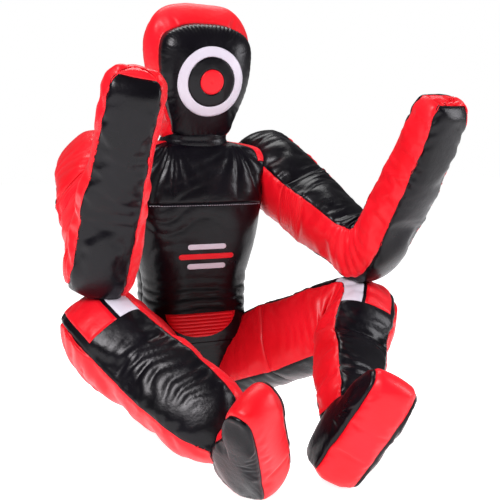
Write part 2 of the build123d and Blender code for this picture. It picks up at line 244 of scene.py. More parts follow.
MATERIALS = {
    "black_vinyl": leather(
        "black_vinyl", dark=(0.0010, 0.0008, 0.0016), light=(0.0030, 0.0022, 0.0044),
        rough=0.29, gloss=0.20, sheen=0.008, sheen_colour=(0.62, 0.5, 0.75),
    ),
    "red_vinyl": leather(
        "red_vinyl", dark=(0.66, 0.002, 0.008), light=(0.82, 0.005, 0.016),
        rough=0.40, gloss=0.26, sheen=0.05, sheen_colour=(1.0, 0.55, 0.6), crease=0.25,
    ),
    "white_print": leather(
        "white_print", dark=(0.52, 0.48, 0.56), light=(0.64, 0.60, 0.67),
        rough=0.4, gloss=0.35, sheen=0.03, sheen_colour=(1, 1, 1), crease=0.2,
    ),
}
print("leathers:", sorted(MATERIALS))

# %% [markdown]
# Each limb's cover has four long panels sewn edge to edge: a black outer and inner face and two red sides.
# A cover is drawn ring by ring. A ring starts as a circle; its points are moved onto four bowed sides,
# and the next ring is an extrusion of the last. Points crowd towards the seams, where the shape bends most.
# Every point remembers how far along the cover it lies and how far it is from a seam; the folds need both.

# %% Rings
PER_SIDE = 14
SEAM_A = 0.86  # where a seam sits across the width, as part of the half width
SEAM_B = 0.84  # the same through the thickness
OUTER, LATERAL, INNER, MEDIAL = range(4)


def side_steps(count=PER_SIDE):
    """Positions from -1 to 1 across a panel, closer together near its seams."""
    return [math.sin(math.pi / 2 * (2 * k / count - 1)) for k in range(count)]


def pillow_points(a, b):
    """One section of a limb: four bowed sides between four seams, and each point's distance to a seam."""
    points = []
    for t in side_steps():
        points.append((SEAM_A * a * t, b * (1 - (1 - SEAM_B) * t * t), (1 - abs(t)) * a))
    for t in side_steps():
        points.append((a * (1 - (1 - SEAM_A) * t * t), -SEAM_B * b * t, (1 - abs(t)) * b))
    for t in side_steps():
        points.append((-SEAM_A * a * t, -b * (1 - (1 - SEAM_B) * t * t), (1 - abs(t)) * a))
    for t in side_steps():
        points.append((-a * (1 - (1 - SEAM_A) * t * t), SEAM_B * b * t, (1 - abs(t)) * b))
    return points


def ring_edges(verts):
    chosen = set(verts)
    touching = {e for v in verts for e in v.link_edges}
    return [e for e in touching if e.verts[0] in chosen and e.verts[1] in chosen]


def skin_rings(name, rings, panel_of):
    """A closed cover over rings of (points, distances to a seam, distance along).

    panel_of(ring, step) gives each face its panel's number.
    """
    bm = bmesh.new()
    step = bm.verts.layers.int.new("step")
    along = bm.verts.layers.float.new("along")
    seam = bm.verts.layers.float.new("seam")
    turn = bm.verts.layers.float.new("turn")
    count = len(rings[0][0])
    verts = bmesh.ops.create_circle(bm, segments=count, radius=1.0)["verts"]
    for k, vert in enumerate(verts):
        vert[step] = k
    for number, (points, distances, distance) in enumerate(rings):
        if number:
            made = bmesh.ops.extrude_edge_only(bm, edges=ring_edges(verts))["geom"]
            verts = [g for g in made if isinstance(g, bmesh.types.BMVert)]
            for face in (g for g in made if isinstance(g, bmesh.types.BMFace)):
                steps = sorted({v[step] for v in face.verts})
                low = steps[-1] if steps[-1] - steps[0] > 1 else steps[0]
                face.material_index = panel_of(number - 1, low)
        for vert in verts:
            k = vert[step]
            vert.co = points[k]
            vert[along] = distance
            vert[seam] = distances[k]
            vert[turn] = k
    bmesh.ops.recalc_face_normals(bm, faces=bm.faces)
    if bm.calc_volume(signed=True) < 0:
        bmesh.ops.reverse_faces(bm, faces=bm.faces)
    mesh = bpy.data.meshes.new(name)
    bm.to_mesh(mesh)
    bm.free()
    cover = bpy.data.objects.new(name, mesh)
    bpy.context.scene.collection.objects.link(cover)
    return cover


print("points in a ring:", len(pillow_points(1, 1)))

# %% [markdown]
# A limb follows two bones and a bend. Its stations are sections: the part of the bone that lies behind them,
# half the width, half the thickness, how far they move outwards (mm) and how far they turn (degrees).
# A smooth curve through the stations gives the rings between them. Each limb has its own, as each is stuffed
# and twisted in its own way.

# %% Limb stations
MM = 0.001
HANDS = {"left": (0.351, -0.480, 0.724), "right": (-0.277, -0.448, 0.756)}
LEFT_ARM = {
    "upper": [
        (-0.24, 40, 50, 0, -20), (-0.17, 58, 70, 2, -20), (-0.08, 66, 84, 4, -20), (0.0, 70, 89, 6, -20),
        (0.18, 70, 87, 7, -20), (0.42, 66, 78, 10, -18), (0.78, 61, 66, 12, -8),
    ],
    "bend": (60, 67, 3, 0),
    "lower": [
        (0.3, 61, 53, 14, 6), (0.6, 61, 50, 12, 8), (0.9, 58, 41, 2, 8), (0.985, 50, 33, 0, 8),
        (1.0, 43, 25, 0, 8),
    ],
}
RIGHT_ARM = {
    "upper": [
        (-0.24, 42, 46, 0, -34), (-0.17, 62, 64, 0, -34), (-0.08, 74, 76, 0, -34), (0.0, 80, 82, 0, -34),
        (0.18, 80, 79, 0, -34), (0.42, 76, 72, 0, -28), (0.78, 68, 63, 0, -8),
    ],
    "bend": (66, 64, 0, -6),
    "lower": [
        (0.3, 65, 50, 3, -6), (0.6, 62, 47, 3, -6), (0.9, 59, 41, 2, -4), (0.985, 51, 33, 0, -4),
        (1.0, 44, 25, 0, -4),
    ],
}
LEFT_LEG = {
    "upper": [
        (-0.2, 46, 54, 0, 38), (-0.1, 60, 76, 0, 38), (0.0, 68, 88, 0, 38), (0.35, 74, 99, -2, 38),
        (0.75, 76, 93, -10, 36),
    ],
    "bend": (78, 80, -19, 34),
    "lower": [(0.36, 78, 58, -19, 32), (0.6, 74, 58, -13, 28), (0.88, 62, 50, -5, 22), (1.08, 50, 42, 0, 18)],
}
RIGHT_LEG = {
    "upper": [
        (-0.2, 56, 58, 0, 10), (-0.1, 76, 80, 0, 10), (0.0, 86, 88, -3, 12), (0.35, 92, 96, -8, 14),
        (0.75, 84, 95, -12, 20),
    ],
    "bend": (80, 86, -6, 22),
    "lower": [(0.36, 86, 63, 0, 13), (0.6, 87, 63, 0, 10), (0.88, 80, 58, 0, 8), (1.08, 60, 48, 0, 8)],
}
SHAPES = {"left_arm": LEFT_ARM, "right_arm": RIGHT_ARM, "left_leg": LEFT_LEG, "right_leg": RIGHT_LEG}
# Rings that close a limb's ends: how much of the section is left, and how far out it lies.
ROOT_CLOSING = ((0.05, 0.018), (0.45, 0.015), (0.8, 0.008))
TIP_CLOSING = ((0.94, 0.004), (0.82, 0.007), (0.62, 0.009), (0.4, 0.010), (0.2, 0.0105), (0.04, 0.0105))
TIP_CAP = 8  # the tip's panel number, after four panels above the cut and four below it


def smooth_between(values, places, wanted):
    """Catmull-Rom through values at the given places."""
    i = int(np.clip(np.searchsorted(places, wanted, side="right") - 1, 0, len(places) - 2))
    p1, p2 = values[i], values[i + 1]
    p0 = values[i - 1] if i else 2 * p1 - p2
    p3 = values[i + 2] if i + 2 < len(values) else 2 * p2 - p1
    s0 = places[i - 1] if i else 2 * places[i] - places[i + 1]
    s3 = places[i + 2] if i + 2 < len(places) else 2 * places[i + 1] - places[i]
    span = places[i + 1] - places[i]
    m1 = (p2 - p0) / (places[i + 1] - s0) * span
    m2 = (p3 - p1) / (s3 - places[i]) * span
    t = (wanted - places[i]) / span
    return (
        (2 * t**3 - 3 * t**2 + 1) * p1
        + (t**3 - 2 * t**2 + t) * m1
        + (-2 * t**3 + 3 * t**2) * p2
        + (t**3 - t**2) * m2
    )


def limb_stations(root, bend, tip, side, shape):
    """Rows of origin, outward direction, half sizes and turn, with places and the sideways direction."""
    first = (bend - root).normalized()
    second = (tip - bend).normalized()
    sideways = first.cross(second).normalized()
    if sideways.x * (1 if side == "left" else -1) < 0:
        sideways = -sideways
    outward = (first - second).normalized()
    across_first = (outward - first * outward.dot(first)).normalized()
    across_second = (outward - second * outward.dot(second)).normalized()
    width, thickness, shift, turn = shape["bend"]
    rows = []
    for start, run, across, stations in (
        (root, bend - root, across_first, shape["upper"]),
        (bend, Vector((0, 0, 0)), outward, [(0, width, thickness, shift, turn)]),
        (bend, tip - bend, across_second, shape["lower"]),
    ):
        for part, a, b, moved, turned in stations:
            origin = start + run * part + across * moved * MM
            rows.append([*origin, *across, a * MM, b * MM, math.radians(turned)])
    rows = np.array(rows)
    steps = np.linalg.norm(np.diff(rows[:, :3], axis=0), axis=1)
    return rows, np.concatenate([[0], np.cumsum(steps)]), sideways


def ring_at(row, sideways, along, scale=1.0, push=0.0):
    """The ring at one place on a limb; scale and push close its ends."""
    origin = Vector(row[:3])
    normal = Vector(row[3:6]).normalized()
    onward = sideways.cross(normal)
    c, s = math.cos(row[8]), math.sin(row[8])
    place = Matrix((sideways * c + normal * s, normal * c - sideways * s, onward)).transposed()
    points = []
    distances = []
    for x, y, distance in pillow_points(row[6], row[7]):
        points.append(origin + place @ Vector((x * scale, y * scale, push)))
        distances.append(distance)
    return points, distances, along


def limb_rings(rows, places, sideways, ring_places):
    rings = [ring_at(rows[0], sideways, 0, scale, -push) for scale, push in ROOT_CLOSING]
    for place in ring_places:
        rings.append(ring_at(smooth_between(rows, places, place), sideways, place))
    end = rows[-1]
    rings += [ring_at(end, sideways, places[-1] + push, scale, push) for scale, push in TIP_CLOSING]
    return rings


def even_places(length, spacing, fine=None):
    """Ring places along a limb, with a finer stretch where ribs are sewn."""
    wanted = [0.0]
    while wanted[-1] < length:
        inside = fine and fine[0] <= wanted[-1] < fine[1]
        wanted.append(wanted[-1] + (fine[2] if inside else spacing))
    wanted[-1] = length
    return wanted


def limb_cover(name, root, bend, tip, side, split_part, fine=None):
    """One limb's cover, with the place where it is cut in two and the place of its bend."""
    shape = SHAPES[name]
    rows, places, sideways = limb_stations(root, bend, tip, side, shape)
    root_at = places[[station[0] for station in shape["upper"]].index(0.0)]
    split = root_at + (bend - root).length * split_part
    fine_at = (split, split + fine[0], fine[1]) if fine else None
    ring_places = sorted(set(even_places(places[-1], RING_SPACING, fine_at)) | {split})
    rings = limb_rings(rows, places, sideways, ring_places)
    root_rings = sum(1 for _, _, place in rings if place < split - 1e-6)

    def panel_of(number, step):
        zone = 0 if number < root_rings else 4
        in_cap = number >= len(rings) - 1 - len(TIP_CLOSING)
        return TIP_CAP if in_cap else zone + step // PER_SIDE

    cover = skin_rings(name, rings, panel_of)
    bend_at = places[len(shape["upper"])]
    return {"cover": cover, "split": split, "bend": bend_at, "root": root, "knee": bend, "tip": tip}


RING_SPACING = 0.008
RIB_STRETCH = (0.062, 0.0025)  # the ribbed stretch's length, and its rings' spacing
ARM_SPLIT = 0.37  # where the cross seam lies, as part of the upper bone
LEG_SPLIT = 0.40
limbs = {}
for side in ("left", "right"):
    limbs[side + "_arm"] = limb_cover(
        side + "_arm", joint_at[side + "_shoulder_lift"], joint_at[side + "_elbow_bend"],
        Vector(HANDS[side]), side, ARM_SPLIT, RIB_STRETCH,
    )
    limbs[side + "_leg"] = limb_cover(
        side + "_leg", joint_at[side + "_hip_spread"], joint_at[side + "_knee_straighten"],
        joint_at[side + "_ankle_flex"], side, LEG_SPLIT,
    )
print("limb covers:", {name: len(limb["cover"].data.vertices) for name, limb in limbs.items()})

# %% [markdown]
# The trunk is one tall bag: a back in two halves with the filling zip between them, a seat, a groin panel,
# a chest, and a yoke over the shoulders. Its rings are superellipses, between a box and an egg in shape.

# %% Trunk
TRUNK_SECTIONS = np.array([  # height, half width, front and back
    (0.000, 0.070, -0.014, 0.060),
    (0.004, 0.092, -0.022, 0.078),
    (0.022, 0.112, -0.030, 0.094),
    (0.110, 0.122, -0.036, 0.100),
    (0.170, 0.124, -0.050, 0.100),
    (0.215, 0.128, -0.067, 0.100),
    (0.330, 0.130, -0.071, 0.100),
    (0.420, 0.153, -0.081, 0.100),
    (0.508, 0.166, -0.089, 0.100),
    (0.560, 0.178, -0.084, 0.098),
    (0.600, 0.184, -0.073, 0.089),
    (0.628, 0.170, -0.058, 0.074),
    (0.641, 0.132, -0.046, 0.056),
    (0.647, 0.084, -0.030, 0.038),
])
TRUNK_POINTS = 128
SQUARENESS = 3.1
YOKE_SEAM = 0.508
STRIP_SEAM = 0.600
GROIN_SEAM = 0.190
SEAT_SEAM = 0.060
STRIP_STEPS = 19
TRUNK_POINT_SPACING = 0.006
CROSS_SEAM_OFFSET = 0.0035  # a cross seam pulls less than a side seam does
CHEST, YOKE, GROIN, SEAT, LEFT_BACK, RIGHT_BACK, STRIPS = range(7)


def trunk_ring(z):
    _, half, front, back = smooth_between(TRUNK_SECTIONS, TRUNK_SECTIONS[:, 0], z)
    points = []
    distances = []
    for k in range(TRUNK_POINTS):
        angle = 2 * math.pi * k / TRUNK_POINTS
        c, s = math.cos(angle), math.sin(angle)
        x = half * math.copysign(abs(c) ** (2 / SQUARENESS), c)
        y = (front + back) / 2 + (back - front) / 2 * math.copysign(abs(s) ** (2 / SQUARENESS), s)
        points.append(Vector((x, y, z)))
        side_seam = min(abs(k - TRUNK_POINTS // 2), k, TRUNK_POINTS - k) * TRUNK_POINT_SPACING
        cross_seam = min(abs(z - YOKE_SEAM), abs(z - GROIN_SEAM) if s < 0 else 1, abs(z - SEAT_SEAM))
        distances.append(min(side_seam, cross_seam + CROSS_SEAM_OFFSET))
    return points, distances, z


def trunk_panel(z, step):
    half_way = TRUNK_POINTS // 2
    beside = min(step, TRUNK_POINTS - 1 - step, abs(step - half_way), abs(step + 1 - half_way))
    if z >= STRIP_SEAM - 1e-6 and beside < STRIP_STEPS:
        return STRIPS
    if z < SEAT_SEAM - 1e-6:
        return SEAT
    if step < half_way:
        return LEFT_BACK if step < TRUNK_POINTS // 4 else RIGHT_BACK
    if z >= YOKE_SEAM - 1e-6:
        return YOKE
    return CHEST if z >= GROIN_SEAM - 1e-6 else GROIN


trunk_heights = sorted(set(np.round(np.arange(0.012, 0.642, 0.008), 4)) | {
    0.0, 0.002, 0.006, YOKE_SEAM, STRIP_SEAM, GROIN_SEAM, SEAT_SEAM, 0.647,
})
trunk_cover = skin_rings(
    "trunk_cover",
    [trunk_ring(z) for z in trunk_heights],
    lambda number, step: trunk_panel(trunk_heights[number], step),
)
print("trunk:", len(trunk_cover.data.vertices), "points,", len(trunk_heights), "rings")

# %% [markdown]
# The head is a soft pillbox. A face panel and a back panel have the same arched outline,
# and a red band is sewn round between them. So its rings run from the face to the back, not upwards.

# %% Head
HEAD_BASE = Vector((0, -0.018, 0.700))
HEAD_TILT = math.radians(8)
HEAD_UP = Vector((0, -math.sin(HEAD_TILT), math.cos(HEAD_TILT)))
HEAD_FORWARD = Vector((0, -math.cos(HEAD_TILT), -math.sin(HEAD_TILT)))
HEAD_OUTLINE = [
    (73, -36), (79, -8), (90, 24), (102, 58), (109, 95), (112, 135), (112, 165), (107, 192), (93, 215),
    (68, 231), (34, 238), (0, 239),
]
HEAD_DEPTHS = MM * np.array([
    (-40, 62), (0, 70), (40, 82), (95, 89), (155, 88), (205, 76), (240, 58), (256, 50),
])
HEAD_POINTS = 176
HEAD_MIDDLE = 0.118
FACE_SEAM = 0.032
CROWN_DROP = 0.034  # the face panel's seam lies this much lower than the crown
BACK_SEAM = -0.048
NARROWING_START = 0.012  # the head narrows towards the face from this far behind its middle
FACE_NARROWER = 0.045  # the face panel is narrower than the head by this part
BAND_BULGE = 0.06  # how far the band stands out between its seams, as part of the outline
FACE, BAND, BACK = range(3)


def closed_outline(corners, count):
    """Evenly spaced points on a smooth closed curve through the corners."""
    loop = np.array(list(corners) + [corners[0]], float)
    places = np.concatenate([[0], np.cumsum(np.linalg.norm(np.diff(loop, axis=0), axis=1))])
    wrapped = np.concatenate([loop[-3:-1], loop, loop[1:3]])
    back = places[-1]
    spots = np.concatenate([places[-3:-1] - back, places, places[1:3] + back])
    return [smooth_between(wrapped, spots, back * k / count) for k in range(count)]


head_right = [(x * MM, h * MM) for x, h in HEAD_OUTLINE]
head_left = [(-x, h) for x, h in reversed(head_right[:-1])]
head_corners = head_right + head_left + [(-0.045, -0.044), (0.0, -0.046), (0.045, -0.044)]
head_outline = closed_outline(head_corners, HEAD_POINTS)


def head_ring(inset, depth_part, seam_depth, way, distance):
    """A ring of the face (way 1) or the back (way -1): the outline drawn in by inset and pushed out."""
    points = []
    nearness = (seam_depth + NARROWING_START) / (FACE_SEAM + NARROWING_START)
    crown_drop = CROWN_DROP * float(np.clip(nearness, 0, 1)) ** 1.5
    for x, h in head_outline:
        h = h - crown_drop * float(np.clip((h - 0.12) / 0.11, 0, 1)) ** 1.6
        x2 = x * (1 - inset) * (1 - FACE_NARROWER * max(0.0, nearness))
        h2 = HEAD_MIDDLE + (h - HEAD_MIDDLE) * (1 - inset)
        full = float(np.interp(h2, HEAD_DEPTHS[:, 0], HEAD_DEPTHS[:, 1]))
        depth = seam_depth + way * (full - abs(seam_depth)) * depth_part
        points.append(HEAD_BASE + Vector((x2, 0, 0)) + HEAD_UP * h2 + HEAD_FORWARD * depth)
    return points, [abs(distance)] * HEAD_POINTS, distance


head_rings = []
HEAD_INSETS = (0.97, 0.86, 0.74, 0.62, 0.5, 0.4, 0.31, 0.23, 0.165, 0.11, 0.065, 0.03, 0.0)
for inset in HEAD_INSETS:
    swell = (1 - (1 - inset) ** 2.7) ** (1 / 2.7)
    head_rings.append(head_ring(inset, swell, FACE_SEAM, 1, -inset * 0.11))
BAND_STEPS = 12
for k in range(1, BAND_STEPS):
    t = k / BAND_STEPS
    bulge = BAND_BULGE * math.sin(math.pi * t)
    ring = head_ring(-bulge, 0, FACE_SEAM + (BACK_SEAM - FACE_SEAM) * t, 1, min(t, 1 - t) * 0.08)
    head_rings.append(ring)
for inset in reversed(HEAD_INSETS):
    swell = (1 - (1 - inset) ** 2.7) ** (1 / 2.7)
    head_rings.append(head_ring(inset, swell, BACK_SEAM, -1, inset * 0.11))


def head_panel(number, step):
    if number < len(HEAD_INSETS) - 1:
        return FACE
    return BAND if number < len(HEAD_INSETS) - 1 + BAND_STEPS else BACK


head_cover = skin_rings("head_cover", head_rings, head_panel)
print("head:", len(head_cover.data.vertices), "points")

# %% [markdown]
# The neck is a short black sleeve. Its foot lies inside the yoke and its top inside the head,
# so that no gap opens when the head nods or turns.

# %% Neck
NECK_SECTIONS = [  # height, middle's depth, half width and half depth
    (0.600, 0.002, 0.070, 0.052), (0.625, 0.000, 0.078, 0.060), (0.640, -0.002, 0.078, 0.060),
    (0.656, -0.005, 0.074, 0.058), (0.676, -0.008, 0.070, 0.055), (0.700, -0.011, 0.066, 0.052),
    (0.722, -0.013, 0.064, 0.050), (0.740, -0.016, 0.060, 0.046),
]
NECK_POINTS = 96


def neck_ring(z, y, a, b, scale=1.0):
    points = []
    for k in range(NECK_POINTS):
        angle = 2 * math.pi * k / NECK_POINTS
        c, s = math.cos(angle), math.sin(angle)
        x2 = a * scale * math.copysign(abs(c) ** 0.8, c)
        y2 = b * scale * math.copysign(abs(s) ** 0.8, s)
        points.append(Vector((x2, y + y2, z)))
    return points, [0.03] * NECK_POINTS, z


neck_table = np.array(NECK_SECTIONS)
neck_rings = [neck_ring(*NECK_SECTIONS[0], s) for s in (0.06, 0.4, 0.75)]
for z in np.arange(0.600, 0.7401, 0.005):
    neck_rings.append(neck_ring(*smooth_between(neck_table, neck_table[:, 0], z)))
neck_rings += [neck_ring(*NECK_SECTIONS[-1], s) for s in (0.75, 0.4, 0.06)]
neck_cover = skin_rings("neck_cover", neck_rings, lambda number, step: 0)
print("neck:", len(neck_cover.data.vertices), "points")

# %% [markdown]
# A foot is made like the head: one outline for both black cheeks and a red band round the sole and toe.

# %% Feet
HEELS = {"left": (0.050, -0.568, 0.028), "right": (-0.051, -0.546, 0.028)}
TOES = {"left": (0.124, -0.640, 0.190), "right": (-0.114, -0.630, 0.186)}
FOOT_OUTLINE = [
    (10, 3), (60, -1), (120, -2), (180, 0), (204, 8), (214, 30), (206, 52), (172, 64), (138, 77), (112, 96),
    (78, 108), (40, 112), (14, 106), (0, 84), (-5, 52), (0, 20),
]
FOOT_POINTS = 112
FOOT_BAND_HALF = 0.043
CHEEK_SWELL = 0.014
FOOT_GROWTH = 1.05
SOLE_BULGE = 0.05
NEAR_CHEEK, SOLE, FAR_CHEEK = range(3)
FOOT_INSETS = (0.97, 0.82, 0.66, 0.52, 0.39, 0.28, 0.19, 0.12, 0.06, 0.0)
SOLE_STEPS = 12


def foot_cover(side):
    heel, toe = Vector(HEELS[side]), Vector(TOES[side])
    ankle = joint_at[side + "_ankle_flex"]
    ahead = (toe - heel).normalized()
    reach = ankle - heel
    up = (reach - ahead * reach.dot(ahead)).normalized()
    across = ahead.cross(up)
    outline = closed_outline([(x * MM, y * MM) for x, y in FOOT_OUTLINE], FOOT_POINTS)
    middle = np.array([0.1, 0.05])

    def ring(inset, offset, distance):
        points = []
        for spot in outline:
            x, y = middle + (spot - middle) * FOOT_GROWTH * (1 - inset)
            points.append(heel + ahead * x + up * y + across * offset)
        return points, [abs(distance)] * FOOT_POINTS, distance

    rings = []
    for way, insets in ((-1, FOOT_INSETS), (1, tuple(reversed(FOOT_INSETS)))):
        if way == 1:
            for k in range(1, SOLE_STEPS):
                t = k / SOLE_STEPS
                bulge = SOLE_BULGE * math.sin(math.pi * t)
                rings.append(ring(-bulge, FOOT_BAND_HALF * (2 * t - 1), min(t, 1 - t) * 0.07))
        for inset in insets:
            swell = (1 - (1 - inset) ** 2.4) ** (1 / 2.4)
            rings.append(ring(inset, way * (FOOT_BAND_HALF + CHEEK_SWELL * swell), way * inset * 0.07))

    def panel_of(number, step):
        if number < len(FOOT_INSETS) - 1:
            return NEAR_CHEEK
        return SOLE if number < len(FOOT_INSETS) - 1 + SOLE_STEPS else FAR_CHEEK

    return skin_rings(side + "_foot", rings, panel_of)


feet = {side: foot_cover(side) for side in ("left", "right")}
print("feet:", [len(f.data.vertices) for f in feet.values()])

# %% [markdown]
# Stuffing makes the covers swell between their seams, and a seam is a little shorter than the panels it
# joins, so the leather puckers beside it. The cloth solver gives both: pressure from inside, panels cut
# slightly large, seams that shrink. Gravity is off. A limb or the trunk also drifts bodily, which is not
# swelling, so each ring's mean move is taken away, and no point may move far.

# %% Stuffing by cloth simulation
STUFFING_PRESSURE = 4.0
PANEL_GROWTH = -0.05
SEAM_SHRINK = 0.03
SEAM_REACH = 0.003
FRAMES = 20
MOST_MOVE = 0.006  # for the limbs and trunk
MOST_MOVE_SMALL = 0.003  # for the head and feet


def coordinates(mesh):
    flat = np.empty(len(mesh.vertices) * 3)
    mesh.vertices.foreach_get("co", flat)
    return flat.reshape(-1, 3)


def attribute(mesh, name):
    values = np.empty(len(mesh.vertices))
    mesh.attributes[name].data.foreach_get("value", values)
    return values


def set_up_cloth(cover):
    distances = attribute(cover.data, "seam")
    seams = cover.vertex_groups.new(name="seams")
    seams.add([int(i) for i in np.nonzero(distances < SEAM_REACH)[0]], 1.0, "REPLACE")
    cloth = cover.modifiers.new("stuffing", "CLOTH")
    settings = cloth.settings
    settings.quality = 4
    settings.mass = 0.3
    settings.tension_stiffness = 14
    settings.compression_stiffness = 14
    settings.shear_stiffness = 6
    settings.bending_stiffness = 0.25
    settings.use_pressure = True
    settings.uniform_pressure_force = STUFFING_PRESSURE
    settings.vertex_group_shrink = "seams"
    settings.shrink_min = PANEL_GROWTH
    settings.shrink_max = SEAM_SHRINK
    settings.effector_weights.gravity = 0
    cloth.collision_settings.use_collision = False
    cloth.collision_settings.use_self_collision = False
    cloth.point_cache.frame_start = 1
    cloth.point_cache.frame_end = FRAMES


def ring_means(move, along):
    """The mean move of each ring, which is the limb swinging and not the panels swelling."""
    _, ring_of, count = np.unique(np.round(along, 5), return_inverse=True, return_counts=True)
    sums = np.stack([np.bincount(ring_of, move[:, axis]) for axis in range(3)], axis=1)
    return (sums / count[:, None])[ring_of]


def stuff(covers):
    before = {cover.name: coordinates(cover.data) for cover in covers}
    for cover in covers:
        set_up_cloth(cover)
    for number in range(1, FRAMES + 1):
        bpy.context.scene.frame_set(number)
    graph = bpy.context.evaluated_depsgraph_get()
    for cover in covers:
        result = cover.evaluated_get(graph).to_mesh()
        move = coordinates(result) - before[cover.name]
        cover.evaluated_get(graph).to_mesh_clear()
        most = MOST_MOVE
        if cover.name.endswith(("arm", "leg", "trunk_cover")):
            move -= ring_means(move, attribute(cover.data, "along"))
        else:
            most = MOST_MOVE_SMALL
        length = np.linalg.norm(move, axis=1, keepdims=True)
        move *= np.minimum(1, most / np.maximum(length, 1e-9))
        cover.modifiers.clear()
        cover.vertex_groups.clear()
        cover.data.vertices.foreach_set("co", (before[cover.name] + move).ravel())
        cover.data.update()
        print(cover.name, "moved", round(float(np.percentile(length, 50)) * 1000, 1), "mm,",
              "most", round(float(length.max()) * 1000, 1))
    bpy.context.scene.frame_set(1)


all_covers = [limb["cover"] for limb in limbs.values()] + [trunk_cover, head_cover] + list(feet.values())
stuff(all_covers)
print("stuffed after", round(time.time() - started), "s")

# %% [markdown]
# One subdivision rounds the quads. From here on the shapes are final except for the folds.

# %% Subdivide
def subdivide(cover):
    rounding = cover.modifiers.new("rounding", "SUBSURF")
    rounding.levels = rounding.render_levels = 1
    graph = bpy.context.evaluated_depsgraph_get()
    finished = bpy.data.meshes.new_from_object(cover.evaluated_get(graph))
    cover.modifiers.clear()
    cover.data = finished
    bm = bmesh.new()
    bm.from_mesh(finished)
    open_edges = [e for e in bm.edges if e.is_boundary]
    caps = bmesh.ops.holes_fill(bm, edges=open_edges, sides=0)["faces"]
    for cap in caps:
        cap.material_index = cap.edges[0].link_faces[0].material_index
    bm.to_mesh(finished)
    bm.free()


for cover in all_covers + [neck_cover]:
    subdivide(cover)
print("after rounding:", sum(len(c.data.polygons) for c in all_covers), "faces")

# %% [markdown]
# Folds. Leather gathered into a seam makes short ridges that start at the stitches and die out across the
# panel. Leather that is squeezed, as inside an elbow, makes deep crosswise folds. Both are drawn here as
# pushes along each point's normal, from smooth noise, so no two are alike and every run gives the same ones.

# %% Fold helpers
def normals(mesh):
    flat = np.empty(len(mesh.vertices) * 3)
    mesh.vertices.foreach_get("normal", flat)
    return flat.reshape(-1, 3)


def panels_of_points(mesh):
    """The panel number that each point belongs to; a seam's points take either side."""
    numbers = np.zeros(len(mesh.vertices), int)
    for face in mesh.polygons:
        for index in face.vertices:
            numbers[index] = face.material_index
    return numbers


def soft_noise(points, scale, seed):
    shift = Vector((seed * 7.3, seed * 3.1, seed * 5.7))
    return np.array([noise.noise(Vector(p) * scale + shift) for p in points])


def ridges(phase, sharp=0.75):
    """Rounded ridges with narrow valleys, from 0 in the valley to 1 on the ridge."""
    return np.abs(np.sin(np.pi * phase)) ** sharp


def bump(distance, width):
    return np.exp(-((distance / width) ** 2))


def gathers(points, along, seam, pitch, reach, height, seed, slant=0.0):
    """Ridges that run away from a seam and die out."""
    drift = soft_noise(points, 14, seed)
    phase = along / pitch + slant * seam / pitch + 1.3 * drift
    uneven = 0.55 + 0.9 * soft_noise(points, 30, seed + 5)
    fade = np.exp(-seam / reach) * (1 - np.exp(-seam / 0.0035))
    return height * (ridges(phase) - 0.6) * uneven * fade


def crosswise(points, along, seam, pitch, height, seed, gate_scale=9, slant=0.0):
    """Soft irregular folds across a panel, in some places only."""
    drift = soft_noise(points, 10, seed)
    gate = np.clip(1.6 * soft_noise(points, gate_scale, seed + 3) + 0.35, 0, 1)
    wave = ridges(along / pitch + slant * seam / pitch + 1.8 * drift, 0.6) - 0.62
    inside = 1 - np.exp(-seam / 0.012)
    return height * wave * gate * inside


def push(cover, amounts):
    mesh = cover.data
    moved = coordinates(mesh) + normals(mesh) * amounts[:, None]
    mesh.vertices.foreach_set("co", moved.ravel())
    mesh.update()


SEAM_DEPTH = 0.0022
SEAM_WIDTH = 0.0045
ABOVE_FLOOR = 0.0005
print("folds start at", round(time.time() - started), "s")

# %% Folds of the arms and legs
def fold_limb(name, limb, seed):
    cover = limb["cover"]
    mesh = cover.data
    points = coordinates(mesh)
    along = attribute(mesh, "along")
    seam = attribute(mesh, "seam")
    panel = panels_of_points(mesh)
    side_number = panel % 4
    lower = panel >= 4
    leg = name.endswith("leg")
    red = (side_number == LATERAL) | (side_number == MEDIAL)
    bend = along - limb["bend"]
    total = -SEAM_DEPTH * bump(seam, SEAM_WIDTH) - 0.0020 * bump(along - limb["split"], 0.004)
    calm = 1.0 if leg else np.where(lower, 0.55, 0.8)
    total += gathers(points, along, seam, 0.017, 0.013, 0.0026, seed) * calm
    total += crosswise(points, along, seam, 0.034, 0.0046, seed + 11) * np.where(red, 0.55, 1.0) * calm
    squeeze = bump(bend, 0.075) * np.where(side_number == INNER, 1.0, 0.0)
    total += 0.008 * squeeze * (ridges(bend / 0.026 + soft_noise(points, 12, seed + 2), 0.6) - 0.6)
    beside = bump(bend, 0.07) * np.where(red, 1.0, 0.0)
    total += 0.0042 * beside * (ridges(bend / 0.022 + 0.8 * soft_noise(points, 15, seed + 4)) - 0.6)
    if leg:
        gusset = np.where((side_number == MEDIAL) & ~lower, 1.0, 0.0)
        total += gusset * gathers(points, along, seam, 0.0125, 0.09, 0.0050, seed + 6, slant=0.5)
        total += np.where((side_number == OUTER) & lower, 1.0, 0.0) * crosswise(
            points, along, seam, 0.024, 0.0062 if name == "left_leg" else 0.0040, seed + 8, 12, slant=0.25
        )
    if name == "left_arm":
        start = along - limb["split"]
        ribs = np.clip(start / 0.004, 0, 1) * np.clip((RIB_STRETCH[0] - start) / 0.006, 0, 1)
        ribs = ribs * np.where(side_number == MEDIAL, 1.0, 0.0)
        total = total * (1 - 0.6 * ribs) + 0.0016 * ribs * (ridges(start / 0.0052, 0.5) - 0.7)
    push(cover, total)
    points = coordinates(mesh)
    points[:, 2] = np.maximum(points[:, 2], ABOVE_FLOOR)
    mesh.vertices.foreach_set("co", points.ravel())
    mesh.update()


for seed, (name, limb) in enumerate(limbs.items()):
    fold_limb(name, limb, seed * 3 + 1)
print("limbs folded after", round(time.time() - started), "s")

